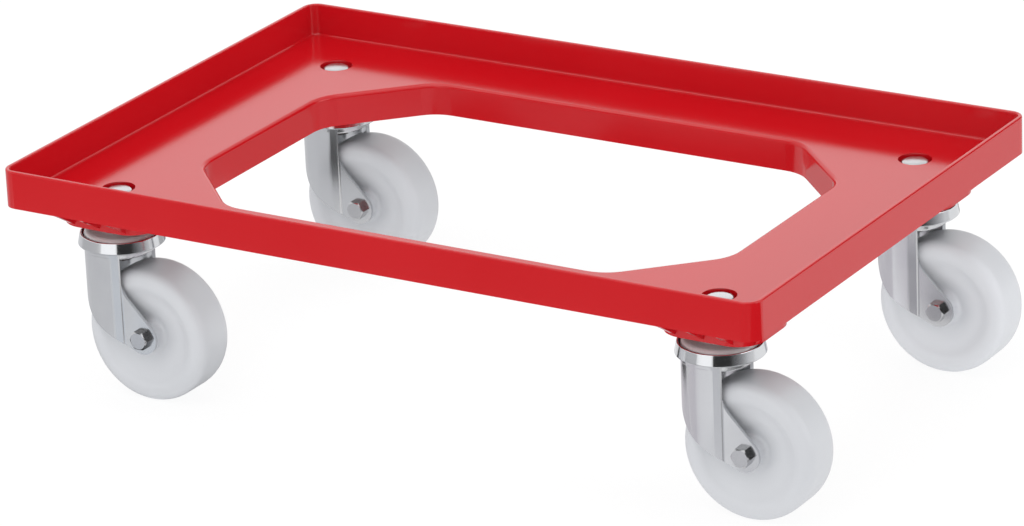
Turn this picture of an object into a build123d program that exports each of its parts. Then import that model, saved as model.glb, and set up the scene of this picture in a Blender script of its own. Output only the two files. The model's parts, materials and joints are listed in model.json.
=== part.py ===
from build123d import *
from math import atan2, cos, degrees, hypot, pi, radians, sin, tan
import os

os.makedirs("parts", exist_ok=True)

# A crate dolly: an open moulded deck with an upstanding rim, carried on four swivel castors.
# Sizes are in millimetres. The floor is z = 0, x runs along the long side of the deck, y along the
# short side, and the middle of the deck is over the origin. The castors trail towards +x.

# The crate that stands in the deck
crate_length = 600.0
crate_width = 400.0
crate_play = 1.5

# Deck moulding
rim_thickness = 3.5
rim_corner_radius = 11.5
recess_corner_radius = 6.8
rim_edge_radius = 1.2
recess_depth = 24.5
recess_fillet = 1.6
plate_thickness = 3.5
deck_depth = 24.0
opening_length = 434.0
opening_width = 284.0
opening_cut = 63.0
opening_bend_radius = 30.0
opening_lip_radius = 3.0
skirt_thickness = 3.5

# Ribs under the plate
rib_thickness = 3.0
rib_relief = 1.0
side_rib_count = 7
end_rib_count = 3
rib_pitch = 49.0

# Pads under the deck that the castors bolt to
castor_inset = 60.0
pad_outward = 38.5
pad_inward = 37.0
pad_sideward = 27.0
pad_midward = 38.0
pad_wall = 3.0
pad_corner_radius = 20.0
pad_rib_count = 3
pad_rib_pitch = 22.0
boss_wall = 3.25

# Fixing bolt with mushroom head and square neck, and its flanged nut
bolt_diameter = 8.0
bolt_play = 0.2
bolt_head_diameter = 20.6
bolt_head_height = 4.9
bolt_head_edge = 0.9
bolt_neck_length = 4.6
bolt_recess_diameter = 24.5
bolt_recess_depth = 5.5
bolt_overhang = 1.0
hexagon = 6
nut_flats = 13.0
nut_height = 8.0
nut_chamfer = 0.9
nut_flange_diameter = 17.8
nut_flange = 1.6
thread_play = 0.05

# Castor as a whole
castor_height = 130.0
wheel_headroom = 30.0
trail = 27.5

# Head plate, bearing ring and king sleeve
sheet = 2.5
head_diameter = 53.0
head_hub_radius = 14.0
head_drop = 5.4
head_lip = 3.8
ring_height = 6.0
ring_width = 6.0
ring_radius = 20.5
ring_play = 0.05
sleeve_radius = 8.0
sleeve_fit = 0.06
spigot_radius = 6.5
spigot_length = 2.3
sleeve_flange_radius = 14.0
sleeve_flange = 4.5

# Fork
web_thickness = 3.0
cup_gap = 0.9
cup_wall = 2.6
cup_bulge = 1.6
cup_rise = 6.3
cup_depth = 1.7
crown_depth = 4.0
crown_rear = 23.0
fork_lead = 5.3
fork_bend_radius = 19.0
leg_rear = 12.5
leg_end_radius = 12.0
lower_edge_angle = 23.7
rear_edge_angle = 46.0
front_curve_radius = 50.0
knee_radius = 14.0
arch_width = 26.0
arch_margin = 12.0

# Axle bolt, axle nut and axle sleeve
axle_head_height = 5.3
axle_nut_height = 8.0
axle_nut_collar = 2.0
axle_overhang = 2.0
axle_sleeve_radius = 7.5
axle_fit = 0.05

# Wheel
tread_width = 36.0
shoulder = 8.0
hub_width = 39.0
hub_play = 0.3
hub_radius = 10.5
hub_cove = 9.0
tread_depth = 11.0
face_step = 1.8
dish_depth = 6.2

# Deck sizes that follow
recess_length = crate_length + 2 * crate_play
recess_width = crate_width + 2 * crate_play
deck_length = recess_length + 2 * rim_thickness
deck_width = recess_width + 2 * rim_thickness
plate_top = castor_height + deck_depth
plate_bottom = plate_top - plate_thickness
rim_top = plate_top + recess_depth
castor_x = deck_length / 2 - castor_inset
castor_y = deck_width / 2 - castor_inset
pad_length = pad_outward + pad_inward
pad_width = pad_sideward + pad_midward
pad_x = castor_x + (pad_outward - pad_inward) / 2
pad_y = castor_y + (pad_sideward - pad_midward) / 2
bolt_seat = plate_top - bolt_recess_depth
bolt_radius = bolt_diameter / 2
hole_radius = bolt_radius + bolt_play
rib_drop = plate_bottom - castor_height - rib_relief

# Levels of the castor head, from the pad downwards
flange_top = castor_height - head_drop
flange_bottom = flange_top - sheet
ring_bottom = flange_bottom - ring_play - ring_height
web_top = ring_bottom - ring_play
web_bottom = web_top - web_thickness
flange_level = web_bottom - ring_play
sleeve_bottom = flange_level - sleeve_flange
nut_bottom = sleeve_bottom - nut_height
bolt_end = nut_bottom - bolt_overhang
bulge_level = web_top - cup_depth
crown_bottom = web_top - crown_depth

# Castor sizes that follow
wheel_diameter = castor_height - wheel_headroom
axle_height = wheel_diameter / 2
head_radius = head_diameter / 2
fork_inside = hub_width / 2 + hub_play
fork_outside = fork_inside + sheet
fork_front = axle_height - trail + fork_lead
cup_inner = head_radius + cup_gap
cup_outer = cup_inner + cup_wall
bulge_radius = cup_outer + cup_bulge
bore_radius = sleeve_radius + sleeve_fit
nut_corner_radius = nut_flats / (2 * cos(pi / hexagon))
wheel_bore = axle_sleeve_radius + axle_fit
face_radius = axle_height - tread_depth
dish_width = tread_width - 2 * (face_step + dish_depth)

# Side outline of a fork leg: where its straight edges leave the round end, and where they reach the
# front and the rear edge
lower_slope = radians(lower_edge_angle)
rear_slope = radians(rear_edge_angle)
sole = (trail - leg_end_radius * sin(lower_slope), axle_height - leg_end_radius * cos(lower_slope))
heel = (trail + leg_end_radius * sin(rear_slope), axle_height + leg_end_radius * cos(rear_slope))
toe_level = sole[1] + (sole[0] + fork_front) * tan(lower_slope)
knee_level = heel[1] + (heel[0] - leg_rear) * tan(rear_slope)
arch_level = crown_bottom - arch_margin - arch_width / 2

castors = {
    "front_left": (-castor_x, -castor_y),
    "front_right": (castor_x, -castor_y),
    "rear_right": (castor_x, castor_y),
    "rear_left": (-castor_x, castor_y),
}


def save(solid, name):
    """Labels one piece and writes it to its own file."""
    solid.label = name
    export_step(solid, f"parts/{name}.step")


def opening_outline(grow):
    """Eight-sided outline of the opening with rounded bends, grown outwards by the given amount."""
    with BuildSketch(Plane.XY.offset(castor_height)) as outline:
        Rectangle(opening_length, opening_width)
        chamfer(outline.vertices(), opening_cut)
        fillet(outline.vertices(), opening_bend_radius)
        if grow:
            offset(amount=grow)
    return outline.sketch


def rib_outline(x, y, outward, reach):
    """Tapered rib: full depth at the wall it starts from, running out to nothing under the plate."""
    wall = Plane(origin=(x, y, plate_bottom), x_dir=(*outward, 0), z_dir=(outward[1], -outward[0], 0))
    with BuildSketch(wall) as outline:
        Polygon((0, 0), (0, -rib_drop), (reach, 0), align=None)
    return outline.sketch


def section(x, y):
    """Upright plane through a swivel axis, measured out along x and up from the floor."""
    return Plane(origin=(x, y, 0), x_dir=(1, 0, 0), z_dir=(0, -1, 0))


def swivel_axis(x, y):
    return Axis((x, y, 0), (0, 0, 1))


def axle_section(x, y):
    """Upright plane through the axle, measured along the axle and up from it."""
    return Plane(origin=(x + trail, y, axle_height), x_dir=(0, 1, 0), z_dir=(1, 0, 0))


def axle_axis(x, y):
    return Axis((x + trail, y, axle_height), (0, 1, 0))


def spread(count, pitch):
    """Positions of count things at the given pitch, centred on zero."""
    return [pitch * (i - (count - 1) / 2) for i in range(count)]


# Every tapered rib under the plate: where it starts, which way it runs and how far
ribs = []
for side in (-1, 1):
    skirt_y = side * (opening_width / 2 + skirt_thickness / 2)
    for x in spread(side_rib_count, rib_pitch):
        ribs.append((x, skirt_y, (0, side), deck_width / 2 - rim_thickness - abs(skirt_y)))
    skirt_x = side * (opening_length / 2 + skirt_thickness / 2)
    for y in spread(end_rib_count, rib_pitch):
        ribs.append((skirt_x, y, (side, 0), deck_length / 2 - rim_thickness - abs(skirt_x)))
    for end in (-1, 1):
        pad_face_y = side * (castor_y + pad_sideward - pad_wall / 2)
        pad_face_x = end * (castor_x + pad_outward - pad_wall / 2)
        for step in spread(pad_rib_count, pad_rib_pitch):
            ribs.append((end * pad_x + step, pad_face_y, (0, side),
                         deck_width / 2 - rim_thickness - abs(pad_face_y)))
            ribs.append((pad_face_x, side * pad_y + step, (end, 0),
                         deck_length / 2 - rim_thickness - abs(pad_face_x)))

# Web from each castor boss to the middle of the nearest slanting side of the opening
tie_x = opening_length / 2 - opening_cut / 2
tie_y = opening_width / 2 - opening_cut / 2
tie_length = hypot(castor_x - tie_x, castor_y - tie_y)

with BuildPart() as deck:
    with BuildSketch(Plane.XY.offset(plate_bottom)):
        RectangleRounded(deck_length, deck_width, rim_corner_radius)
    extrude(amount=rim_top - plate_bottom)
    with BuildSketch(Plane.XY.offset(plate_top)):
        RectangleRounded(recess_length, recess_width, recess_corner_radius)
    extrude(amount=recess_depth, mode=Mode.SUBTRACT)
    fillet(deck.faces().filter_by(Axis.Z).sort_by(Axis.Z)[1].edges(), recess_fillet)
    fillet(deck.faces().filter_by(Axis.Z).sort_by(Axis.Z)[-1].edges(), rim_edge_radius)
    extrude(opening_outline(skirt_thickness), amount=plate_bottom - castor_height)
    with BuildSketch(Plane.XY.offset(castor_height)):
        with GridLocations(2 * pad_x, 2 * pad_y, 2, 2):
            RectangleRounded(pad_length, pad_width, pad_corner_radius)
            RectangleRounded(pad_length - 2 * pad_wall, pad_width - 2 * pad_wall,
                             pad_corner_radius - pad_wall, mode=Mode.SUBTRACT)
        with GridLocations(2 * pad_x, 2 * castor_y, 2, 2):
            Rectangle(pad_length - pad_wall, rib_thickness)
        with GridLocations(2 * castor_x, 2 * pad_y, 2, 2):
            Rectangle(rib_thickness, pad_width - pad_wall)
        with GridLocations(2 * castor_x, 2 * castor_y, 2, 2):
            Circle(bolt_recess_diameter / 2 + boss_wall)
        for x, y in castors.values():
            start_x, start_y = tie_x * (x / castor_x), tie_y * (y / castor_y)
            heading = degrees(atan2(y - start_y, x - start_x))
            with Locations(Location(((x + start_x) / 2, (y + start_y) / 2, 0), (0, 0, heading))):
                Rectangle(tie_length, rib_thickness)
    extrude(amount=plate_bottom - castor_height)
    for x, y, outward, reach in ribs:
        extrude(rib_outline(x, y, outward, reach), amount=rib_thickness / 2, both=True)
    extrude(opening_outline(0), amount=deck_depth, mode=Mode.SUBTRACT)
    floor_face = deck.faces().filter_by(Axis.Z).filter_by_position(
        Axis.Z, plate_top - rim_edge_radius, plate_top + rim_edge_radius)[0]
    fillet(floor_face.inner_wires()[0].edges(), opening_lip_radius)
    with BuildSketch(Plane.XY.offset(bolt_seat)):
        with GridLocations(2 * castor_x, 2 * castor_y, 2, 2):
            Circle(bolt_recess_diameter / 2)
    extrude(amount=bolt_recess_depth, mode=Mode.SUBTRACT)
    with BuildSketch(Plane.XY.offset(bolt_seat)):
        with GridLocations(2 * castor_x, 2 * castor_y, 2, 2):
            Rectangle(2 * hole_radius, 2 * hole_radius)
    extrude(amount=-(bolt_neck_length + bolt_play), mode=Mode.SUBTRACT)
    with BuildSketch(Plane.XY.offset(bolt_seat)):
        with GridLocations(2 * castor_x, 2 * castor_y, 2, 2):
            Circle(hole_radius)
    extrude(amount=castor_height - bolt_seat, mode=Mode.SUBTRACT)

save(deck.part, "deck")

# The fixing fasteners: one of each at every castor, kept together as a group of separate solids
with BuildPart() as fixing_bolts:
    for x, y in castors.values():
        with BuildSketch(section(x, y)):
            with BuildLine():
                Polyline((0, bolt_seat + bolt_head_height), (0, bolt_end), (bolt_radius, bolt_end),
                         (bolt_radius, bolt_seat), (bolt_head_diameter / 2, bolt_seat),
                         (bolt_head_diameter / 2, bolt_seat + bolt_head_edge))
                TangentArc((0, bolt_seat + bolt_head_height),
                           (bolt_head_diameter / 2, bolt_seat + bolt_head_edge),
                           tangent=(1, 0), tangent_from_first=True)
            make_face()
        revolve(axis=swivel_axis(x, y))
        with BuildSketch(Plane.XY.offset(bolt_seat)):
            with Locations((x, y)):
                Rectangle(bolt_diameter, bolt_diameter)
        extrude(amount=-bolt_neck_length)

with BuildPart() as fixing_nuts:
    with BuildSketch(Plane.XY.offset(nut_bottom)):
        with Locations(*castors.values()):
            RegularPolygon(nut_flats / 2, hexagon, major_radius=False)
    extrude(amount=nut_height)
    with BuildSketch(Plane.XY.offset(sleeve_bottom)):
        with Locations(*castors.values()):
            Circle(nut_flange_diameter / 2)
    extrude(amount=-nut_flange)
    with BuildSketch(Plane.XY.offset(nut_bottom)):
        with Locations(*castors.values()):
            Circle(bolt_radius + thread_play)
    extrude(amount=nut_height, mode=Mode.SUBTRACT)

save(fixing_bolts.part, "fixing_bolts")
save(fixing_nuts.part, "fixing_nuts")

for corner, (x, y) in castors.items():
    with BuildPart() as head_plate:
        with BuildSketch(section(x, y)):
            Polygon((spigot_radius + sleeve_fit, castor_height),
                    (head_hub_radius, castor_height),
                    (head_hub_radius + sheet, flange_top),
                    (head_radius - sheet, flange_top),
                    (head_radius, flange_bottom),
                    (head_radius, flange_bottom - head_lip),
                    (head_radius - sheet, flange_bottom - head_lip),
                    (head_radius - sheet, flange_bottom),
                    (head_hub_radius, flange_bottom),
                    (head_hub_radius - sheet, castor_height - sheet),
                    (spigot_radius + sleeve_fit, castor_height - sheet), align=None)
        revolve(axis=swivel_axis(x, y))

    with BuildPart() as king_sleeve:
        with BuildSketch(section(x, y)):
            Polygon((hole_radius, sleeve_bottom),
                    (sleeve_flange_radius, sleeve_bottom),
                    (sleeve_flange_radius, flange_level),
                    (sleeve_radius, flange_level),
                    (sleeve_radius, castor_height - sheet),
                    (spigot_radius, castor_height - sheet),
                    (spigot_radius, castor_height - sheet + spigot_length),
                    (hole_radius, castor_height - sheet + spigot_length), align=None)
        revolve(axis=swivel_axis(x, y))

    with BuildPart() as bearing_ring:
        with BuildSketch(Plane((x, y, ring_bottom))):
            Circle(ring_radius + ring_width / 2)
            Circle(ring_radius - ring_width / 2, mode=Mode.SUBTRACT)
        extrude(amount=ring_height)

    # Fork: a sheet bent to a U in plan and trimmed to the side outline makes the legs, and the crown
    # above them spreads from the outline of the legs to a round cup
    with BuildPart() as fork:
        with BuildSketch(Plane((x, y, axle_height - leg_end_radius))) as plan:
            with Locations((wheel_diameter / 2 - fork_front, 0)):
                Rectangle(wheel_diameter, 2 * fork_outside)
            fillet(plan.vertices().group_by(Axis.X)[0], fork_bend_radius)
            offset(amount=-sheet, mode=Mode.SUBTRACT)
        extrude(amount=crown_bottom - axle_height + leg_end_radius)
        with BuildSketch(section(x, y)) as side:
            Polygon((-fork_front, crown_bottom), (-fork_front, toe_level), sole, (trail, axle_height), heel,
                    (leg_rear, knee_level), (leg_rear, crown_bottom), align=None)
            fillet(side.vertices().group_by(Axis.X)[0].sort_by(Axis.Y)[0], front_curve_radius)
            knee = side.vertices().filter_by_position(Axis.X, leg_rear - sheet, leg_rear + sheet)
            fillet(knee.sort_by(Axis.Y)[0], knee_radius)
            with Locations((trail, axle_height)):
                Circle(leg_end_radius)
        extrude(amount=2 * fork_outside, both=True, mode=Mode.INTERSECT)
        with BuildSketch(Plane(origin=(x, y, arch_level), x_dir=(0, -1, 0), z_dir=(-1, 0, 0))):
            Circle(arch_width / 2)
            with Locations((0, -axle_height / 2)):
                Rectangle(arch_width, axle_height)
        extrude(amount=2 * fork_front, mode=Mode.SUBTRACT)
        with BuildSketch(Plane((x, y, crown_bottom))):
            with Locations(((crown_rear - fork_front) / 2, 0)):
                RectangleRounded(crown_rear + fork_front, 2 * fork_outside, fork_bend_radius)
        with BuildSketch(Plane((x, y, bulge_level))):
            Circle(bulge_radius)
        loft()
        with BuildSketch(section(x, y)):
            Polygon((0, bulge_level), (bulge_radius, bulge_level), (cup_outer, web_top + cup_rise),
                    (cup_inner, web_top + cup_rise), (cup_inner, web_top), (0, web_top), align=None)
        revolve(axis=swivel_axis(x, y))
        with BuildSketch(Plane((x, y, crown_bottom))):
            Circle(fork_inside)
        extrude(amount=web_bottom - crown_bottom, mode=Mode.SUBTRACT)
        with BuildSketch(Plane((x, y, web_bottom))):
            Circle(bore_radius)
        extrude(amount=web_thickness, mode=Mode.SUBTRACT)
        with BuildSketch(Plane(origin=(x + trail, y, axle_height), x_dir=(1, 0, 0), z_dir=(0, -1, 0))):
            Circle(hole_radius)
        extrude(amount=2 * fork_outside, both=True, mode=Mode.SUBTRACT)

    with BuildPart() as axle_bolt:
        head_face = Plane(origin=(x + trail, y - fork_outside, axle_height), x_dir=(1, 0, 0), z_dir=(0, -1, 0))
        with BuildSketch(head_face):
            RegularPolygon(nut_flats / 2, hexagon, major_radius=False)
        extrude(amount=axle_head_height)
        with BuildSketch(axle_section(x, y)):
            Polygon((-fork_outside, 0),
                    (-fork_outside, nut_corner_radius),
                    (-fork_outside - axle_head_height + nut_chamfer, nut_corner_radius),
                    (-fork_outside - axle_head_height, nut_flats / 2 - nut_chamfer / 2),
                    (-fork_outside - axle_head_height, 0), align=None)
        revolve(axis=axle_axis(x, y), mode=Mode.INTERSECT)
        with BuildSketch(head_face):
            Circle(bolt_radius)
        extrude(amount=-(2 * fork_outside + axle_nut_height + axle_overhang))

    with BuildPart() as axle_nut:
        nut_face = Plane(origin=(x + trail, y + fork_outside, axle_height), x_dir=(1, 0, 0), z_dir=(0, 1, 0))
        with BuildSketch(nut_face):
            RegularPolygon(nut_flats / 2, hexagon, major_radius=False)
        extrude(amount=axle_nut_height)
        with BuildSketch(axle_section(x, y)):
            Polygon((fork_outside, bolt_radius + thread_play),
                    (fork_outside, nut_corner_radius),
                    (fork_outside + axle_nut_height - axle_nut_collar, nut_corner_radius),
                    (fork_outside + axle_nut_height - axle_nut_collar, nut_flats / 2 - nut_chamfer / 2),
                    (fork_outside + axle_nut_height, nut_flats / 2 - nut_chamfer),
                    (fork_outside + axle_nut_height, bolt_radius + thread_play), align=None)
        revolve(axis=axle_axis(x, y), mode=Mode.INTERSECT)

    with BuildPart() as axle_sleeve:
        with BuildSketch(axle_section(x, y)):
            with Locations((0, (axle_sleeve_radius + hole_radius) / 2)):
                Rectangle(2 * fork_inside, axle_sleeve_radius - hole_radius)
        revolve(axis=axle_axis(x, y))

    # Half of the wheel's section, from the bore out to the tread, then mirrored
    with BuildPart() as wheel:
        with BuildSketch(axle_section(x, y)):
            with BuildLine():
                Polyline((0, wheel_bore), (hub_width / 2, wheel_bore), (hub_width / 2, hub_radius))
                Bezier((hub_width / 2, hub_radius), (dish_width / 2, hub_radius),
                       (dish_width / 2, hub_radius + hub_cove))
                Polyline((dish_width / 2, hub_radius + hub_cove),
                         (tread_width / 2 - face_step, face_radius - face_step),
                         (tread_width / 2, face_radius), (tread_width / 2, axle_height - shoulder))
                Bezier((tread_width / 2, axle_height - shoulder), (tread_width / 2, axle_height),
                       (tread_width / 2 - shoulder, axle_height))
                Line((tread_width / 2 - shoulder, axle_height), (0, axle_height))
                mirror(about=Plane.YZ)
            make_face()
        revolve(axis=axle_axis(x, y))

    save(head_plate.part, f"{corner}_head_plate")
    save(king_sleeve.part, f"{corner}_king_sleeve")
    save(bearing_ring.part, f"{corner}_bearing_ring")
    save(fork.part, f"{corner}_fork")
    save(axle_bolt.part, f"{corner}_axle_bolt")
    save(axle_nut.part, f"{corner}_axle_nut")
    save(axle_sleeve.part, f"{corner}_axle_sleeve")
    save(wheel.part, f"{corner}_wheel")
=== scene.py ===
# %% [markdown]
# # A crate dolly, dressed for the camera
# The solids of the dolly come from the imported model: a red moulded deck, and four castors that swivel
# and roll. They are the fixed frame of this lesson. Nothing below moves them: each step gives a piece
# a finish, or puts a finer surface in the place of a solid and lets it ride on the same moving body.
# All lengths on the dolly are in metres.

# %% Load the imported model
import json

import bmesh
import bpy
import numpy as np
from mathutils import Matrix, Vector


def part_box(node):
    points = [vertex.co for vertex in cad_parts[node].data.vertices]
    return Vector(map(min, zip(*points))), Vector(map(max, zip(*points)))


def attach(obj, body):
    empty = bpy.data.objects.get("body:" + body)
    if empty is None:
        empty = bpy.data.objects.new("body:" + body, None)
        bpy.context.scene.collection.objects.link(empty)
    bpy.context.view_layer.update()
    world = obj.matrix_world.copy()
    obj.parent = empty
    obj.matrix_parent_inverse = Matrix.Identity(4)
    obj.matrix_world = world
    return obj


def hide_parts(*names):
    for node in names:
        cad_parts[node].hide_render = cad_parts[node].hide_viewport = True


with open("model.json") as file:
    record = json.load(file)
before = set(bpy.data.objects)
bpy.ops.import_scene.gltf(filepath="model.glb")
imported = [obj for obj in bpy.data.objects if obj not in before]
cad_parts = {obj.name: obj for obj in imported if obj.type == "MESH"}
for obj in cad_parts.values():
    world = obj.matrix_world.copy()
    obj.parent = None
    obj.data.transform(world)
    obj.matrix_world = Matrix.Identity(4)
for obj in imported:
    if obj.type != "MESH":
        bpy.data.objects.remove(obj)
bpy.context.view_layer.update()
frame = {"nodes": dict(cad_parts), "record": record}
nodes = frame["nodes"]

# %% [markdown]
# ## The camera
# The picture was taken from a long way off with a long lens, so the deck's far side is hardly smaller
# than its near side. A camera could be turned by three angles, but it is easier to say where it looks,
# from which bearing and height, and how far it leans over. Three unit vectors (right, up, back) are
# worked out from those, and they are the columns of the camera's matrix.

# %% Camera
IMAGE_WIDTH = 1024
FOCAL_PIXELS = 5434.5
SENSOR_WIDTH = 36.0
VIEW_END = 100.0
bearing, height, lean = np.radians([31.67, 21.2, -2.42])
target = np.array([0.12106, -0.20713, 0.1785])
distance = 3.64905


def add_object(name, data):
    """Puts an object that shows the data into the scene."""
    thing = bpy.data.objects.new(name, data)
    bpy.context.scene.collection.objects.link(thing)
    return thing


def axes_at(position, right, up, back):
    """Matrix of an object at a position: its own three axes and the position are the columns."""
    matrix = np.eye(4)
    matrix[:3] = np.column_stack([right, up, back, position])
    return matrix


back = np.array([np.sin(bearing) * np.cos(height), -np.cos(bearing) * np.cos(height), np.sin(height)])
level_right = np.array([np.cos(bearing), np.sin(bearing), 0.0])
level_up = np.cross(back, level_right)
right = np.cos(lean) * level_right + np.sin(lean) * level_up
eye_point = target + distance * back

lens = bpy.data.cameras.new("camera")
lens.sensor_width = SENSOR_WIDTH
lens.lens = SENSOR_WIDTH * FOCAL_PIXELS / IMAGE_WIDTH
lens.clip_end = VIEW_END
camera = add_object("camera", lens)
camera.matrix_world = Matrix(axes_at(eye_point, right, np.cross(back, right), back).tolist())
bpy.context.scene.camera = camera
print("lens", round(lens.lens, 1), "mm from", eye_point.round(3))

# %% [markdown]
# ## Shared shader effects
# Moulded plastic is never quite even: the melt leaves broad, faint cloudiness and the steel of the
# mould leaves a very fine grain. Handling leaves thin, long rubs. These could be drawn afresh in every
# material, but more than one finish has them, so each is a node group that is built once. The groups
# only put out values that change over the surface.

# %% Node helpers
def new_group(name, inputs, outputs):
    """An empty shader node group with named float sockets, and its input and output nodes."""
    group = bpy.data.node_groups.new(name, "ShaderNodeTree")
    for label, default in inputs.items():
        socket = group.interface.new_socket(label, in_out="INPUT", socket_type="NodeSocketFloat")
        socket.default_value = default
    for label in outputs:
        group.interface.new_socket(label, in_out="OUTPUT", socket_type="NodeSocketFloat")
    return group, group.nodes.new("NodeGroupInput"), group.nodes.new("NodeGroupOutput")


def add(tree, kind, inputs=None, **settings):
    """Adds a node and sets its attributes. Each of its inputs, given by name or number, is linked to
    the socket or set to the value that comes with it."""
    node = tree.nodes.new(kind)
    for label, value in settings.items():
        setattr(node, label, value)
    for label, source in (inputs or {}).items():
        if isinstance(source, bpy.types.NodeSocket):
            tree.links.new(source, node.inputs[label])
        else:
            node.inputs[label].default_value = source
    return node


# %% Moulding group
moulding, given, result = new_group(
    "moulding", {"Grain Scale": 900.0, "Cloud Scale": 14.0}, ["Grain", "Cloud"])
where = add(moulding, "ShaderNodeTexCoord").outputs["Object"]
grain = add(moulding, "ShaderNodeTexNoise", {
    "Vector": where, "Scale": given.outputs["Grain Scale"], "Detail": 3.0, "Roughness": 0.6})
cloud = add(moulding, "ShaderNodeTexNoise", {
    "Vector": where, "Scale": given.outputs["Cloud Scale"], "Detail": 2.0})
moulding.links.new(grain.outputs["Fac"], result.inputs["Grain"])
moulding.links.new(cloud.outputs["Fac"], result.inputs["Cloud"])
print("group", moulding.name, [socket.name for socket in moulding.interface.items_tree])

# %% Rubs group
rubs, given, result = new_group("rubs", {"Length": 6.0, "Fineness": 420.0, "Amount": 0.3}, ["Mask"])
where = add(rubs, "ShaderNodeTexCoord").outputs["Object"]
fine = given.outputs["Fineness"]
stretch = add(rubs, "ShaderNodeCombineXYZ", {"X": given.outputs["Length"], "Y": fine, "Z": fine})
lines = add(rubs, "ShaderNodeVectorMath", {0: where, 1: stretch.outputs["Vector"]}, operation="MULTIPLY")
fibre = add(rubs, "ShaderNodeTexNoise", {"Vector": lines.outputs["Vector"], "Scale": 1.0, "Detail": 2.0})
patch = add(rubs, "ShaderNodeTexNoise", {"Vector": where, "Scale": 22.0, "Detail": 1.0})
thin = add(rubs, "ShaderNodeMapRange", {"Value": fibre.outputs["Fac"], "From Min": 0.6, "From Max": 0.75})
local = add(rubs, "ShaderNodeMapRange", {"Value": patch.outputs["Fac"], "From Min": 0.5, "From Max": 0.7})
both = add(rubs, "ShaderNodeMath", {
    0: thin.outputs["Result"], 1: local.outputs["Result"]}, operation="MULTIPLY")
share = add(rubs, "ShaderNodeMath", {
    0: both.outputs["Value"], 1: given.outputs["Amount"]}, operation="MULTIPLY")
rubs.links.new(share.outputs["Value"], result.inputs["Mask"])
print("group", rubs.name, [socket.name for socket in rubs.interface.items_tree])

# %% [markdown]
# ## The finishes
# The dolly has glossy red plastic, zinc plate in several states, greased bare steel and satin white
# polyamide. All of them could be plain colours, but a real surface is not one flat tone. So a finish
# starts from the Principled shader, mixes its colour and roughness between two close values by the
# groups, and feeds the grain to a bump. What is the same all over, such as metal or not, is set on
# the shader itself. The red deck would tint the white wheels under it more than it really does, so
# its finish names a paler colour for the light that it throws on matt things.

# %% Finish builder
BUMP_STRENGTH = 0.5


def finish(name, tones, roughness, metallic, bump, grain_scale, cloud_scale, rub, spill=None):
    """A material whose colour and roughness each run between two values with the cloudiness. The rubs
    add to the roughness, at most by the value of rub. The grain is a bump of the given height. A
    spill colour, where there is one, is what the surface throws on the matt things beside it."""
    material = bpy.data.materials.new(name)
    material.use_nodes = True
    tree = material.node_tree
    shader = tree.nodes["Principled BSDF"]
    shader.inputs["Metallic"].default_value = metallic
    mould = add(tree, "ShaderNodeGroup", node_tree=moulding)
    wear = add(tree, "ShaderNodeGroup", node_tree=rubs)
    mould.inputs["Grain Scale"].default_value = grain_scale
    mould.inputs["Cloud Scale"].default_value = cloud_scale
    wear.inputs["Amount"].default_value = rub
    dark, light = [(*tone, 1.0) for tone in tones]
    mixed = add(tree, "ShaderNodeMix", {
        "Factor": mould.outputs["Cloud"], "A": dark, "B": light}, data_type="RGBA")
    matt = add(tree, "ShaderNodeMapRange", {
        "Value": mould.outputs["Cloud"], "To Min": roughness[0], "To Max": roughness[1]})
    dull = add(tree, "ShaderNodeMath", {
        0: matt.outputs["Result"], 1: wear.outputs["Mask"]}, operation="ADD")
    relief = add(tree, "ShaderNodeBump", {
        "Height": mould.outputs["Grain"], "Strength": BUMP_STRENGTH, "Distance": bump})
    colour = mixed.outputs["Result"]
    if spill:
        path = add(tree, "ShaderNodeLightPath")
        thrown = add(tree, "ShaderNodeMix", {
            "Factor": path.outputs["Is Diffuse Ray"], "A": colour, "B": (*spill, 1.0)}, data_type="RGBA")
        colour = thrown.outputs["Result"]
    tree.links.new(colour, shader.inputs["Base Color"])
    tree.links.new(dull.outputs["Value"], shader.inputs["Roughness"])
    tree.links.new(relief.outputs["Normal"], shader.inputs["Normal"])
    return material


# %% Finishes of the dolly
red_moulding = finish(
    "red_moulding", tones=((0.52, 0.003, 0.007), (0.57, 0.005, 0.010)), roughness=(0.10, 0.16),
    metallic=0.0, bump=2e-5, grain_scale=1400.0, cloud_scale=9.0, rub=0.05, spill=(0.75, 0.71, 0.71))
zinc_plate = finish(
    "zinc_plate", tones=((0.60, 0.61, 0.63), (0.68, 0.69, 0.70)), roughness=(0.14, 0.22),
    metallic=1.0, bump=1e-5, grain_scale=700.0, cloud_scale=45.0, rub=0.08)
bright_zinc = finish(
    "bright_zinc", tones=((0.66, 0.67, 0.69), (0.74, 0.75, 0.77)), roughness=(0.08, 0.12),
    metallic=1.0, bump=2e-6, grain_scale=700.0, cloud_scale=45.0, rub=0.05)
dull_zinc = finish(
    "dull_zinc", tones=((0.70, 0.69, 0.70), (0.78, 0.77, 0.78)), roughness=(0.48, 0.58),
    metallic=0.5, bump=1e-5, grain_scale=900.0, cloud_scale=60.0, rub=0.05)
bolt_zinc = finish(
    "bolt_zinc", tones=((0.50, 0.505, 0.52), (0.58, 0.585, 0.60)), roughness=(0.18, 0.26),
    metallic=1.0, bump=1e-5, grain_scale=700.0, cloud_scale=80.0, rub=0.06)
# Greased steel for the bearings; on the fixing nuts its dark tone is also painted shade.
greased_and_shaded_steel = finish(
    "greased_and_shaded_steel", tones=((0.20, 0.19, 0.18), (0.34, 0.33, 0.32)), roughness=(0.25, 0.45),
    metallic=1.0, bump=2e-5, grain_scale=500.0, cloud_scale=60.0, rub=0.10)
polyamide = finish(
    "polyamide", tones=((0.588, 0.601, 0.632), (0.632, 0.645, 0.672)), roughness=(0.34, 0.44),
    metallic=0.0, bump=2e-5, grain_scale=1100.0, cloud_scale=20.0, rub=0.10)
print("plastics", red_moulding.name, polyamide.name)
print("metals", [metal.name for metal in (zinc_plate, bright_zinc, dull_zinc, bolt_zinc, greased_and_shaded_steel)])
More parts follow.
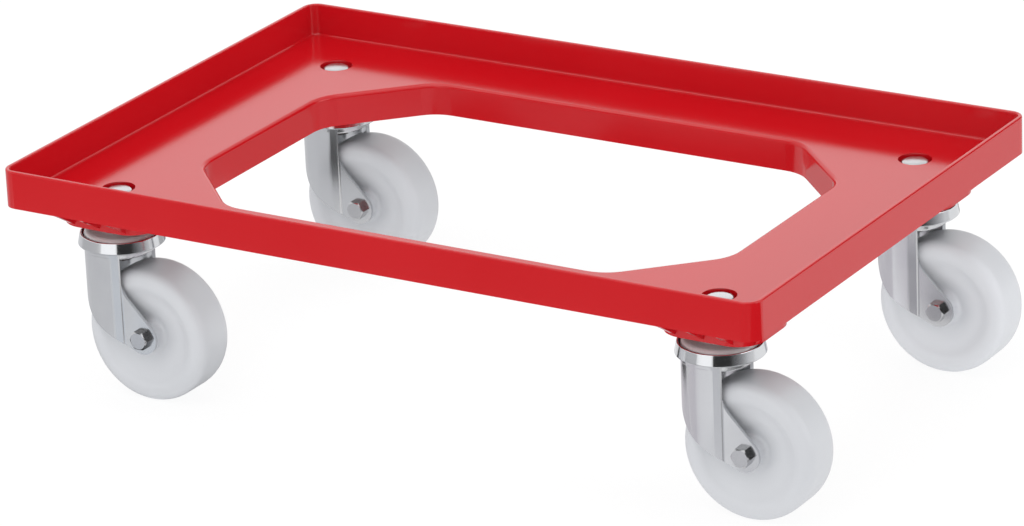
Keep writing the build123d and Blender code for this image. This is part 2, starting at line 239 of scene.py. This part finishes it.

# %% [markdown]
# ## Finishes on the solids
# A solid whose shape is right already only needs its finish. Each could be dressed by name, but the
# record says which material slot a solid belongs to, so one table from slot to finish dresses them
# all. Some steel differs from the rest: the axle bolts and nuts are plated greyer. The nuts up inside
# the castors get the dark greased bearing steel as painted shade: they sit in the fork crown's shadow.

# %% Dress the solids
finish_of_slot = {"red_plastic": red_moulding, "zinc_steel": zinc_plate, "bearing_steel": greased_and_shaded_steel,
                  "white_polyamide": polyamide}
for part in frame["record"]["subparts"]:
    mesh = nodes[part["node"]].data
    mesh.materials.clear()
    coat = finish_of_slot[part["material_slot"]]
    if part["node"].endswith(("axle_bolt", "axle_nut")):
        coat = bolt_zinc
    # The fixing nuts' dark finish is painted shade, for the shadow under the fork's crown.
    if part["node"] == "fixing_nuts":
        coat = greased_and_shaded_steel
    mesh.materials.append(coat)

# %% [markdown]
# ## Surroundings
# The dolly stands in a white studio, lit from all round. The world is white. It could have one
# strength, but a white that fills the picture is more light than the dolly needs, so the camera and
# the reflections see a world that is a little brighter than the light it gives.

# %% World
WORLD_LIGHT, WORLD_SEEN = 0.86, 1.05
world = bpy.data.worlds.new("studio")
bpy.context.scene.world = world
world.use_nodes = True
sky = world.node_tree
path = add(sky, "ShaderNodeLightPath")
straight = add(sky, "ShaderNodeMath", {
    0: path.outputs["Is Camera Ray"], 1: path.outputs["Is Transmission Ray"]}, operation="MAXIMUM")
seen = add(sky, "ShaderNodeMath", {
    0: straight.outputs["Value"], 1: path.outputs["Is Glossy Ray"]}, operation="MAXIMUM")
level = add(sky, "ShaderNodeMapRange", {
    "Value": seen.outputs["Value"], "To Min": WORLD_LIGHT, "To Max": WORLD_SEEN})
sky.nodes["Background"].inputs["Color"].default_value = (1.0, 1.0, 1.0, 1.0)
sky.links.new(level.outputs["Result"], sky.nodes["Background"].inputs["Strength"])
bpy.context.scene.view_settings.view_transform = "Standard"
print("world", WORLD_LIGHT, "as light and", WORLD_SEEN, "where it is seen")

# %% [markdown]
# ## Surfaces from grids
# The floor, and every new piece below, is a grid of points: one parameter runs round or along the
# piece, the other runs across it. Blender's own shapes could be bent into place, but with a grid a
# whole surface needs only array arithmetic for its points and one array of face numbers.

# %% Grid to mesh
MERGE_DISTANCE = 1e-6


def grid_mesh(name, *grids, closed=(False, False)):
    """One mesh of (n, m, 3) grids: each point joins the next one along both parameters, and a closed
    parameter joins its last point to its first. Points that fall together, as at a pole or along a
    shared edge, become one, and the faces are turned to look outwards."""
    points, faces, count = [], [], 0
    for grid in grids:
        n, m = grid.shape[:2]
        i, j = np.meshgrid(
            np.arange(n if closed[0] else n - 1), np.arange(m if closed[1] else m - 1), indexing="ij")
        i_next, j_next = (i + 1) % n, (j + 1) % m
        quads = np.stack([i * m + j, i_next * m + j, i_next * m + j_next, i * m + j_next], axis=-1)
        points.append(grid.reshape(-1, 3))
        faces.append(quads.reshape(-1, 4) + count)
        count += n * m
    mesh = bpy.data.meshes.new(name)
    mesh.from_pydata(np.vstack(points).tolist(), [], np.vstack(faces).tolist())
    work = bmesh.new()
    work.from_mesh(mesh)
    bmesh.ops.remove_doubles(work, verts=work.verts, dist=MERGE_DISTANCE)
    bmesh.ops.recalc_face_normals(work, faces=work.faces)
    work.to_mesh(mesh)
    work.free()
    mesh.polygons.foreach_set("use_smooth", np.ones(len(mesh.polygons), bool))
    return mesh


# %% [markdown]
# ## The floor
# The dolly stands on white. A floor of white paint alone comes out grey under soft light, and a
# glowing one has no shadow, so this one is a mix. The camera sees mostly glow, with enough paint in
# it to keep a faint shadow. Reflections see mostly paint. Matt surfaces gather more of the glow, which
# lifts the wheels under the deck.

# %% Floor
FLOOR_REACH = 30.0
MATT_FILL = 0.50
floor_finish = bpy.data.materials.new("studio_floor")
floor_finish.use_nodes = True
tree = floor_finish.node_tree
paint = tree.nodes["Principled BSDF"]
paint.inputs["Base Color"].default_value = (0.88, 0.88, 0.88, 1.0)
paint.inputs["Roughness"].default_value = 0.9
paint.inputs["Specular IOR Level"].default_value = 0.0
glow = add(tree, "ShaderNodeEmission", {"Color": (1.0, 1.0, 1.0, 1.0), "Strength": 1.06})
path = add(tree, "ShaderNodeLightPath")
lift = add(tree, "ShaderNodeMapRange", {
    "Value": path.outputs["Is Camera Ray"], "To Min": 0.25, "To Max": 0.80})
fill = add(tree, "ShaderNodeMath", {
    0: path.outputs["Is Diffuse Ray"], 1: MATT_FILL, 2: lift.outputs["Result"]}, operation="MULTIPLY_ADD")
blend = add(tree, "ShaderNodeMixShader", {
    0: fill.outputs["Value"], 1: paint.outputs["BSDF"], 2: glow.outputs["Emission"]})
tree.links.new(blend.outputs["Shader"], tree.nodes["Material Output"].inputs["Surface"])

ends = np.array([-FLOOR_REACH, FLOOR_REACH])
floor_x, floor_y = np.meshgrid(ends, ends, indexing="ij")
floor_mesh = grid_mesh("floor", np.stack([floor_x, floor_y, np.zeros_like(floor_x)], axis=-1))
floor_mesh.materials.append(floor_finish)
floor = add_object("floor", floor_mesh)
print("floor", np.ptp(ends), "m wide")

# %% [markdown]
# ## The lamps
# Soft light with soft shadows comes from large lamps. One soft box hangs above, one stands low in
# front and one to the right. A sun would be simpler, but its shadows are hard. The front one is kept
# out of the reflections, because what the metal mirrors there is set by a card in the next step.

# %% Lamps
def aim(position, at):
    """Matrix of an object at a position whose -Z axis points at a place and whose X axis is level."""
    away = np.asarray(position, float) - at
    away /= np.linalg.norm(away)
    side = np.cross([0.0, 0.0, 1.0], away)
    side /= np.linalg.norm(side)
    return axes_at(position, side, np.cross(away, side), away)


def soft_box(name, position, at, width, tall, watts, mirrored=True):
    """A rectangular lamp at a position that shines at a place, seen in reflections or not."""
    lamp = bpy.data.lights.new(name, "AREA")
    lamp.shape = "RECTANGLE"
    lamp.size, lamp.size_y, lamp.energy = width, tall, watts
    holder = add_object(name, lamp)
    holder.matrix_world = Matrix(aim(position, at).tolist())
    holder.visible_glossy = mirrored
    return holder


middle = np.array([0.0, 0.0, 0.1])
soft_box("overhead", (-0.3, -0.5, 2.6), middle, width=2.4, tall=2.4, watts=18.0)
soft_box("front", (-0.25, -2.3, 0.31), middle, width=1.9, tall=0.6, watts=6.0, mirrored=False)
soft_box("right", (2.8, 0.2, 0.9), middle, width=1.6, tall=1.2, watts=9.0)

# %% [markdown]
# ## The cards
# Glossy plastic and plated metal look like what they mirror. A studio sets up white and black cards
# round the object for that, and so does this one. They are sheets that only reflections can see.
# Upright ones make the bands on the cups and the sheen on the deck. Most of those that lie on the
# floor are there for the fork legs, where each face mirrors another stretch of floor. Lamps could make
# bright bands but no dark ones. All cards share one glowing material that reads its tone from the
# card's own corners, so a card may also run from one tone to another.

# %% Card shapes
CARD_HEIGHT = 0.002


def grey(level, blue=0.0):
    """A grey tone, with a little more blue where that is given."""
    return (level, level, level + blue)


def facing(position, at, width, tall):
    """The four corners of a rectangle at a position that faces a place, as a grid."""
    across, rise = np.meshgrid([-width / 2, width / 2], [-tall / 2, tall / 2], indexing="ij")
    flat = np.stack([across, rise, np.zeros_like(across), np.ones_like(across)], axis=-1)
    return (flat @ aim(position, at).T)[..., :3]


def lying(*corners, height=CARD_HEIGHT):
    """Four corners just above the floor, as a grid: two of one side, then two of the other."""
    return np.column_stack([np.array(corners), np.full(len(corners), height)]).reshape(2, 2, 3)


def tile(x, y, height=CARD_HEIGHT):
    """A level rectangle just above the floor between two values of x and two of y, as a grid."""
    across, along = np.meshgrid(x, y)
    return np.stack([across, along, np.full_like(across, height)], axis=-1)


def standing(left, right, tall):
    """The four corners of a rectangle that stands on the line between two points in plan, as a grid."""
    return np.array([[[*left, 0.0], [*left, tall]], [[*right, 0.0], [*right, tall]]])


# %% Card maker
card_glow = bpy.data.materials.new("card_glow")
card_glow.use_nodes = True
tree = card_glow.node_tree
corner_tone = add(tree, "ShaderNodeAttribute", attribute_name="tone")
glow = add(tree, "ShaderNodeEmission", {"Color": corner_tone.outputs["Color"], "Strength": 1.0})
tree.links.new(glow.outputs["Emission"], tree.nodes["Material Output"].inputs["Surface"])


def card(name, grid, tone, far_tone=None):
    """A flat card that shows only in reflections, of one tone, or running to another at its far side."""
    mesh = grid_mesh(name, grid)
    mesh.materials.append(card_glow)
    corner_tones = np.array([tone, tone, far_tone or tone, far_tone or tone])
    attribute = mesh.attributes.new("tone", "FLOAT_COLOR", "POINT")
    attribute.data.foreach_set("color", np.column_stack([corner_tones, np.ones(len(corner_tones))]).ravel())
    sheet = add_object(name, mesh)
    sheet.visible_camera = sheet.visible_diffuse = sheet.visible_shadow = sheet.visible_transmission = False


print("cards share the material", card_glow.name)

# %% Cards round the dolly
BLACK = grey(0.03)
DUSK = grey(0.25, blue=0.01)
CARD_TALL = 1.1
card("camera_side_card", standing((0.62, -2.45), (1.90, -1.50), tall=CARD_TALL), BLACK)
card("camera_right_card", standing((1.90, -1.50), (2.62, -0.55), tall=CARD_TALL), BLACK, DUSK)
card("right_wall_card", standing((2.62, -0.55), (2.75, 0.90), tall=0.45), DUSK, grey(0.62, blue=0.01))
card("far_side_card", facing((1.25, 1.75, 0.75), middle, width=1.3, tall=CARD_TALL), grey(0.02))
card("front_left_card", facing((-1.27, -2.04, 1.30), middle, width=1.7, tall=1.0), BLACK)
card("back_card", facing((-1.47, 2.38, 1.20), middle, width=2.6, tall=1.4), grey(1.32))
card("front_floor_card", tile((-0.62, 1.30), (-1.80, -0.50)), grey(0.30))
card("far_left_card", tile((-6.0, -0.62), (-7.0, 0.30), height=0.001), grey(0.57, blue=0.01))
card("front_card", facing((-0.30, -2.28, 0.55), middle, width=1.6, tall=CARD_TALL), grey(1.25))

# %% Cards on the floor
# In y: the front side of the deck, the front end of the cards before it, and both ends of the rear ones.
DECK_EDGE, APRON_EDGE = -0.205, -0.495
REAR_NEAR, REAR_FAR = -0.13, 0.03
TOP_CARD_HEIGHT = 0.003
# Under and in front of the deck, some floor cards are painted shadow: the near-black one under the left of
# the deck and the mauve ones stand for the floor in the deck's shade, the mauve with the red light that the
# deck throws down, as the deck's opening and the fork legs mirror it.
DECK_SHADE_MAUVE = (0.72, 0.69, 0.73)
card("under_left_card", tile((-0.36, 0.0), (-0.22, -0.05), height=TOP_CARD_HEIGHT), grey(0.05))
card("under_right_card", tile((0.0, 0.20), (-0.24, 0.24)), DECK_SHADE_MAUVE)
card("left_card", lying((-0.266, DECK_EDGE), (-0.445, APRON_EDGE), (-0.31, 1.60), (-3.0, 1.60)),
     grey(0.72, blue=0.02))
card("left_slope_card", lying((-0.262, DECK_EDGE), (-0.435, APRON_EDGE),
                              (-0.19, DECK_EDGE), (-0.20, APRON_EDGE)), (0.76, 0.79, 0.84))
card("back_floor_card", tile((-0.30, 0.25), (0.24, 1.60)), grey(0.50))
# The bend card's mauve is the same painted shadow, where the fork's bend mirrors it.
card("bend_card", lying((0.0, -0.245), (0.196, -0.245), (0.0, APRON_EDGE), (0.0414, APRON_EDGE)), DECK_SHADE_MAUVE)
card("flat_card", lying((0.220, DECK_EDGE), (0.237, DECK_EDGE), (0.0415, APRON_EDGE), (0.124, APRON_EDGE)),
     grey(1.00, blue=0.02))
card("slope_card", lying((0.238, DECK_EDGE), (0.31, DECK_EDGE), (0.125, APRON_EDGE), (0.31, APRON_EDGE)),
     grey(0.72, blue=0.03))
card("tongue_card", lying((0.170, -0.315), (0.206, -0.315), (0.197, -0.25), (0.236, -0.25),
                          height=TOP_CARD_HEIGHT), grey(0.86, blue=0.02))
card("step_card_left", tile((-0.18, -0.02), (-0.25, -0.34)), grey(0.35, blue=0.01))
card("step_card_right", tile((0.31, 0.48), (DECK_EDGE, -0.34)), grey(0.45, blue=0.01))
card("rear_flat_card", lying((0.189, REAR_FAR), (0.199, REAR_FAR), (0.090, REAR_NEAR), (0.100, REAR_NEAR),
                             height=TOP_CARD_HEIGHT), grey(1.35, blue=0.03))
card("rear_slope_card", lying((0.215, REAR_FAR), (0.30, REAR_FAR), (0.14, REAR_NEAR), (0.30, REAR_NEAR),
                              height=TOP_CARD_HEIGHT), (0.45, 0.44, 0.47))
card("corner_card", tile((0.50, 1.30), (APRON_EDGE, 0.04)), grey(0.04))
card("right_card", tile((1.32, 3.2), (-0.60, 2.50)), grey(0.70, blue=0.01))

# %% [markdown]
# ## The wheels
# Each wheel is one solid moulding in white polyamide: a tread with rounded shoulders, faces that
# dish inwards, and a hub that stands out to the fork. A Screw modifier could spin a curve for it. Here
# one outline of (distance along the axle, radius) is rounded at its corners and carried round the
# axle, so that every size of the wheel stands in one short list and the same two helpers also turn
# the head plates and the bolts.

# %% Turned pieces
STRAIGHT_SHARES = np.array([0.04, 0.5, 0.96])


def soften(corners, cuts, steps):
    """Closed outline with rounded corners: each corner is cut back by a share of the edge before it
    and of the edge after it, and a quadratic curve with the corner as its handle joins the cuts. A few
    points on the straight stretch after each curve keep that stretch flat in the shading."""
    start = corners + (np.roll(corners, 1, axis=0) - corners) * cuts[:, :1]
    end = corners + (np.roll(corners, -1, axis=0) - corners) * cuts[:, 1:]
    t = np.linspace(0.0, 1.0, steps)[None, :, None]
    curve = (1 - t) ** 2 * start[:, None] + 2 * t * (1 - t) * corners[:, None] + t ** 2 * end[:, None]
    along = STRAIGHT_SHARES[None, :, None]
    straight = end[:, None] + (np.roll(start, -1, axis=0) - end)[:, None] * along
    return np.concatenate([curve, straight], axis=1).reshape(-1, corners.shape[1])


def turned(name, outline, centre, along, segments, ring=True):
    """An outline of (distance along the axis, radius) carried round an axis through the centre: each
    of its points becomes a circle. The outline closes on itself in a ring, and otherwise it runs from
    one end of the axis to the other. The axis is "y" or "z"."""
    angle = np.linspace(0.0, 2 * np.pi, segments, endpoint=False)[:, None]
    reach, radius = outline[None, :, 0], outline[None, :, 1]
    first, second = radius * np.cos(angle), radius * np.sin(angle)
    axial = np.broadcast_to(reach, first.shape)
    parts = (first, axial, second) if along == "y" else (first, second, axial)
    return grid_mesh(name, np.stack(parts, axis=-1) + np.asarray(centre), closed=(True, ring))


def place(mesh, material, body, slot, *replaced):
    """Puts a mesh with its finish in the scene, on a moving body, in place of the solids it stands for."""
    mesh.materials.append(material)
    piece = add_object(mesh.name, mesh)
    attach(piece, body)
    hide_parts(*replaced)
    return piece


# %% Wheels
castors = ["front_left", "front_right", "rear_right", "rear_left"]
low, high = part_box("front_left_wheel")
WHEEL_RADIUS = (high.z - low.z) / 2
HUB_HALF = (high.y - low.y) / 2
half_outline = np.array([
    [HUB_HALF, 0.00755], [HUB_HALF, 0.0105], [0.0100, 0.0112], [0.0138, 0.0225], [0.0150, 0.0315],
    [0.0181, 0.0385], [0.0180, WHEEL_RADIUS]])
half_cuts = np.array([
    [0.02, 0.15], [0.25, 0.10], [0.55, 0.40], [0.45, 0.45], [0.40, 0.46],
    [0.46, 0.22], [0.74, 0.22]])
wheel_corners = np.vstack([half_outline, half_outline[::-1] * [-1.0, 1.0]])
wheel_outline = soften(wheel_corners, np.vstack([half_cuts, half_cuts[::-1, ::-1]]), steps=9)
for corner in castors:
    low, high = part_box(f"{corner}_wheel")
    mesh = turned(f"{corner}_tyre", wheel_outline, (low + high) / 2, "y", segments=144)
    place(mesh, polyamide, f"{corner}_rolling", "white_polyamide", f"{corner}_wheel")
print("wheels", len(mesh.polygons), "faces each")

# %% [markdown]
# ## A lamp for one wheel
# The rear right wheel stands deep under the deck and comes out greyer than the one in front of it.
# More light on everything would wash out the rest. A lamp can be linked to the pieces that it may
# light: this one stands low, to the right of the camera's line of sight, and has only that wheel.

# %% Wheel lamp
low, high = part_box("rear_right_wheel")
wheel_lamp = soft_box("wheel_lamp", (1.6, -1.6, 0.25), np.array((low + high) / 2),
                      width=0.5, tall=0.5, watts=9.0, mirrored=False)
lit_by_it = bpy.data.collections.new("lit_by_wheel_lamp")
lit_by_it.objects.link(bpy.data.objects["rear_right_tyre"])
wheel_lamp.light_linking.receiver_collection = lit_by_it

# %% [markdown]
# ## The cup of the fork
# The fork is pressed from one sheet. Its top is a round cup that holds the bearing, and below the
# cup a skirt draws the metal in to the outline of the legs. A loft would need both outlines as curves
# with matching points. Here each row of the surface is a closed loop about the swivel axis: a circle
# in the cup, the legs' outline at the bottom of the skirt, and a weighted mean between.

# %% Outline of the legs in plan
FRONT, CROWN_REAR, HALF = 0.0264, 0.0230, 0.0223
BEND, FLARE = 0.0185, 0.0013


def legs_outline(angle, arc_points=24, even_points=800):
    """Distance from the swivel axis to the legs' outline, a rectangle with rounded corners, in the
    direction of an angle: four corner arcs joined by straight lines, looked up by their own angle."""
    quarter = np.linspace(0.0, np.pi / 2, arc_points)
    turn = np.concatenate([quarter + k * np.pi / 2 for k in range(4)])
    bend = BEND + FLARE
    half = np.array([(FRONT + CROWN_REAR) / 2, HALF + FLARE]) - bend
    side = np.repeat([[1, 1], [-1, 1], [-1, -1], [1, -1]], len(quarter), axis=0) * half
    loop = side + bend * np.column_stack([np.cos(turn), np.sin(turn)]) + [(CROWN_REAR - FRONT) / 2, 0.0]
    loop = np.vstack([loop, loop[:1]])
    run = np.concatenate([[0.0], np.cumsum(np.linalg.norm(np.diff(loop, axis=0), axis=1))])
    even = np.linspace(0.0, run[-1], even_points, endpoint=False)
    x, y = np.interp(even, run, loop[:, 0]), np.interp(even, run, loop[:, 1])
    return np.interp(angle, np.arctan2(y, x), np.hypot(x, y), period=2 * np.pi)


print("legs reach", legs_outline(np.pi).round(4), "m to the front of the swivel axis")


# %% Fork cup and skirt
def drawn(corners, cuts, steps=8, segments=180):
    """Closed loops about the swivel axis, one for each point of a rounded outline of (radius, height,
    weight, inset): the mean of a circle and of the legs' outline less the inset, by the weight."""
    rows = soften(np.array(corners), np.array(cuts), steps)
    angle = np.linspace(0.0, 2 * np.pi, segments, endpoint=False)[:, None]
    radius, height, weight, inset = rows.T
    reach = (1 - weight) * radius + weight * (legs_outline(angle) - inset)
    level = np.broadcast_to(height, reach.shape)
    return np.stack([reach * np.cos(angle), reach * np.sin(angle), level], axis=-1)


BORE, WEB_TOP, WEB_UNDER, CUP_TOP = 0.00806, 0.1160, 0.1130, 0.1223
SKIRT_TOP, SKIRT_END, SKIRT_RADIUS, SKIRT_PROUD = 0.1140, 0.1082, 0.0317, 0.0002
cup_corners = [
    [BORE, WEB_TOP, 0, 0], [0.0284, WEB_TOP, 0, 0], [0.0286, CUP_TOP, 0, 0], [0.0299, CUP_TOP, 0, 0],
    [0.0316, SKIRT_TOP, 0, 0], [0.0290, WEB_UNDER, 0, 0], [BORE, WEB_UNDER, 0, 0]]
cup_cuts = [
    [0.1, 0.02], [0.08, 0.25], [0.08, 0.40], [0.40, 0.07],
    [0.07, 0.20], [0.20, 0.02], [0.02, 0.1]]
skirt_corners = [
    [0.0290, SKIRT_TOP, 0, 0], [SKIRT_RADIUS, 0.1128, 1, -SKIRT_PROUD],
    [SKIRT_RADIUS, SKIRT_END, 1, -SKIRT_PROUD], [SKIRT_RADIUS, SKIRT_END, 1, 0.0026],
    [0.0198, SKIRT_TOP, 0, 0]]
skirt_cuts = [[0.1, 0.1], [0.2, 0.3], [0.25, 0.1], [0.1, 0.1], [0.1, 0.1]]
cup, skirt = drawn(cup_corners, cup_cuts), drawn(skirt_corners, skirt_cuts)
cup_radius = np.hypot(cup[..., 0], cup[..., 1]).max()
swivels = {joint["child"]: np.array([*joint["pos_m"][:2], 0.0])
           for joint in frame["record"]["behaviour"]["joints"]}
for corner in castors:
    for name, loops, coat in (("fork_cup", cup, bright_zinc), ("fork_skirt", skirt, zinc_plate)):
        mesh = grid_mesh(f"{corner}_{name}", loops + swivels[f"{corner}_swivel"], closed=(True, True))
        place(mesh, coat, f"{corner}_swivel", "zinc_steel", f"{corner}_fork")
print("cup radius", cup_radius.round(4), "faces of a skirt", len(mesh.polygons))

# %% [markdown]
# ## The legs of the fork
# Below the cup the sheet is bent to a U round the wheel and trimmed to a slanting outline that ends
# in a round eye at the axle. The tongue at the axle is set in a little, so the side of the leg slopes
# in over its last part and ends in a small step: they catch other light than the faces before and
# behind them. A Boolean could cut the outline, but it leaves long thin faces along the cut. Here one
# parameter runs along the U in plan, from eye to eye, and the other runs up the sheet from its lower
# edge to its upper edge, so the faces follow the outline. A Solidify modifier gives the sheet its
# thickness and an Edge Split modifier keeps its cut edges crisp.

# %% Outline of a leg
TRAIL, AXLE, EYE, LEG_REAR = 0.0275, 0.0500, 0.0120, 0.0125
TOE_RADIUS, KNEE_RADIUS, LEG_TOP = 0.0500, 0.0140, 0.1135
under, behind = np.radians([23.7, 46.0])
# The straight edges leave the eye at the sole and at the heel. Toe and knee are the curves at their ends.
sole = np.array([TRAIL - EYE * np.sin(under), AXLE - EYE * np.cos(under)])
heel = np.array([TRAIL + EYE * np.sin(behind), AXLE + EYE * np.cos(behind)])
toe_run = TOE_RADIUS * np.tan((np.pi / 2 - under) / 2)
toe_centre = np.array([TOE_RADIUS - FRONT, sole[1] + (sole[0] + FRONT) * np.tan(under) + toe_run])
knee_run = KNEE_RADIUS * np.tan((np.pi / 2 - behind) / 2)
knee_level = heel[1] + (heel[0] - LEG_REAR) * np.tan(behind) + knee_run
knee_centre = np.array([LEG_REAR + KNEE_RADIUS, knee_level])


def drop(x, centre, radius):
    """Height of half a circle above or below its centre at the distance x."""
    return np.sqrt(np.clip(radius ** 2 - (x - centre) ** 2, 0.0, None))


def lower_edge(x):
    """Lower edge of a leg: the toe's curve, then the straight sole, then the underside of the eye."""
    toe = toe_centre[1] - drop(x, toe_centre[0], TOE_RADIUS)
    straight = sole[1] + (sole[0] - x) * np.tan(under)
    eye = AXLE - drop(x, TRAIL, EYE)
    return np.where(x < toe_run * np.cos(under) - FRONT, toe, np.where(x < sole[0], straight, eye))


def upper_edge(x):
    """Upper edge of the tongue: the knee's curve, then the straight back, then the top of the eye."""
    knee = knee_centre[1] - drop(x, knee_centre[0], KNEE_RADIUS)
    straight = heel[1] + (heel[0] - x) * np.tan(behind)
    eye = AXLE + drop(x, TRAIL, EYE)
    return np.where(x < LEG_REAR + knee_run * np.cos(behind), knee, np.where(x < heel[0], straight, eye))


print("leg from", lower_edge(np.array(TRAIL)).round(4), "to", LEG_TOP, "m up, knee at", knee_level.round(4))

# %% Plan of the legs
SLOPE, STEP, STEP_DEPTH = 0.0054, 0.0008, 0.0006
ARCH_RADIUS, ARCH_SIDE = 0.0130, 0.0004
SLOPE_SHARES = np.array([0.04, 0.1, 0.35, 0.65, 0.9, 0.96, 1.0])
STEP_SHARES = np.array([0.1, 0.5, 0.9, 1.0])
BEND_POINTS, SIDE_POINTS, TONGUE_POINTS = 25, 6, 38
# Round the bend the points are even, with two more close together where the arch has its steep side.
bend = BEND + FLARE
arch_sides = ARCH_RADIUS - np.array([ARCH_SIDE, 0.0])
turn = np.union1d(np.linspace(0.0, np.pi / 2, BEND_POINTS), np.arcsin((arch_sides - HALF + BEND) / bend))
bend_x, bend_y = bend - FRONT - bend * np.cos(turn), HALF + FLARE - bend + bend * np.sin(turn)
# Along the side: where the slope starts, where the step starts and where it ends, and how far in.
foot_x = np.array([LEG_REAR - STEP - SLOPE, LEG_REAR - STEP, LEG_REAR])
foot_in = np.array([0.0, FLARE - STEP_DEPTH, FLARE])
side_x = np.linspace(bend_x[-1], foot_x[0], SIDE_POINTS)[1:]
slope_x = np.concatenate([foot_x[0] + SLOPE * SLOPE_SHARES, foot_x[1] + STEP * STEP_SHARES])
tongue_x = LEG_REAR + (TRAIL + EYE - LEG_REAR) * np.sin(np.linspace(0.0, np.pi / 2, TONGUE_POINTS))[1:]
plan_x = np.concatenate([[-FRONT], bend_x, side_x, slope_x, tongue_x])
plan_y = np.concatenate([[0.0], bend_y, np.full(len(plan_x) - len(bend_y) - 1, HALF + FLARE)])
plan_y = plan_y - np.interp(plan_x, foot_x, foot_in)
print("plan of half a fork", len(plan_x), "points")


# %% Fork legs
def leg_grid(x, y, low, high, rows):
    """Points of the sheet: each plan point is raised from the low edge to the high edge in even rows,
    on both sides of the fork, from the eye on one side to the eye on the other."""
    z = low[:, None] + (high - low)[:, None] * np.linspace(0.0, 1.0, rows)
    plan = np.broadcast_to(np.column_stack([x, y])[:, None], (*z.shape, 2))
    half = np.concatenate([plan, z[..., None]], axis=-1)
    return np.concatenate([half[:0:-1] * [1.0, -1.0, 1.0], half])


ARCH_LEVEL, ARCH_BAND = 0.0870, 0.001
SHEET, SPLIT_ANGLE = 0.0025, np.radians(50)
# The arch cuts into the front of the sheet, and only the part before the tongue goes on up to the cup.
in_arch = plan_y < ARCH_RADIUS - MERGE_DISTANCE
below_cup = plan_x <= LEG_REAR + MERGE_DISTANCE
bottom = np.where(in_arch, ARCH_LEVEL + drop(plan_y, 0.0, ARCH_RADIUS), lower_edge(plan_x))
top = np.where(below_cup, np.maximum(knee_level, bottom + ARCH_BAND), upper_edge(plan_x))
cup_end = np.full(below_cup.sum(), LEG_TOP)
lower_grid = leg_grid(plan_x, plan_y, bottom, top, rows=30)
upper_grid = leg_grid(plan_x[below_cup], plan_y[below_cup], top[below_cup], cup_end, rows=12)
for corner in castors:
    centre = swivels[f"{corner}_swivel"]
    mesh = grid_mesh(f"{corner}_fork_legs", lower_grid + centre, upper_grid + centre)
    legs = place(mesh, zinc_plate, f"{corner}_swivel", "zinc_steel", f"{corner}_fork")
    thick = legs.modifiers.new("sheet", "SOLIDIFY")
    thick.thickness, thick.offset, thick.use_even_offset = SHEET, -1.0, True
    crisp = legs.modifiers.new("edges", "EDGE_SPLIT")
    crisp.split_angle = SPLIT_ANGLE
print("legs", len(mesh.polygons), "faces before thickness")

# %% [markdown]
# ## The head plates
# A pressed dish clamped under each pad closes the bearing from above: a raised middle that bears on
# the pad, a sloping flange, and a lip that reaches down inside the cup. The solid has its sharp
# corners, and a Bevel modifier could round them, but each corner of a pressing has its own radius.
# So the outline of the sheet is softened corner by corner and turned, as the wheel is.

# %% Head plates
PAD_LEVEL, HUB_UNDER, FLANGE_UNDER, LIP_END = 0.1300, 0.1275, 0.1221, 0.1183
PLATE_BORE, PLATE_RADIUS = 0.00656, 0.0272
plate_corners = np.array([
    [PAD_LEVEL, PLATE_BORE], [PAD_LEVEL, 0.0140], [0.1250, 0.0172], [0.1242, 0.0252],
    [0.1218, PLATE_RADIUS], [LIP_END, PLATE_RADIUS], [LIP_END, 0.0247], [FLANGE_UNDER, 0.0245],
    [FLANGE_UNDER, 0.0145], [HUB_UNDER, 0.0115], [HUB_UNDER, PLATE_BORE]])
plate_cuts = np.array([
    [0.05, 0.05], [0.20, 0.25], [0.30, 0.15], [0.20, 0.45],
    [0.45, 0.30], [0.15, 0.20], [0.20, 0.10], [0.20, 0.10],
    [0.10, 0.20], [0.20, 0.10], [0.05, 0.05]])
plate_outline = soften(plate_corners, plate_cuts, steps=7)
for corner in castors:
    mesh = turned(f"{corner}_head_dish", plate_outline, swivels[f"{corner}_swivel"], "z", segments=144)
    place(mesh, dull_zinc, "deck", "zinc_steel", f"{corner}_head_plate")
print("head plates", len(mesh.polygons), "faces each")

# %% [markdown]
# ## The deck bolts
# Each castor hangs on one bolt with a low round head in a recess of the deck. The solid's head is a
# plain dome. The real one is nearly flat with a rolled edge, which catches a bright arc. A squashed
# ball could stand in for it, but a turned outline gives that edge its own curve. A solid turned shape
# starts and ends on its axis, so the outline is left open there and its end circles shrink to a point.

# %% Deck bolts
HEAD_TOP, HEAD_SEAT, BOLT_END = 0.15370, 0.14850, 0.09945
HEAD_RADIUS, SHANK_RADIUS = 0.0103, 0.0040
bolt_corners = np.array([
    [HEAD_TOP, 0.0], [0.15365, 0.0030], [0.15310, 0.0094], [0.15100, HEAD_RADIUS],
    [HEAD_SEAT, HEAD_RADIUS], [HEAD_SEAT, SHANK_RADIUS], [BOLT_END, SHANK_RADIUS], [BOLT_END, 0.0]])
bolt_cuts = np.array([
    [0.0, 0.3], [0.5, 0.45], [0.45, 0.5], [0.4, 0.2],
    [0.1, 0.05], [0.05, 0.02], [0.01, 0.2], [0.2, 0.0]])
bolt_outline = soften(bolt_corners, bolt_cuts, steps=7)[:-len(STRAIGHT_SHARES)]
for corner in castors:
    centre = swivels[f"{corner}_swivel"]
    mesh = turned(f"{corner}_deck_bolt", bolt_outline, centre, "z", segments=72, ring=False)
    place(mesh, bolt_zinc, "deck", "zinc_steel", "fixing_bolts")
print("deck bolts", len(mesh.polygons), "faces each")
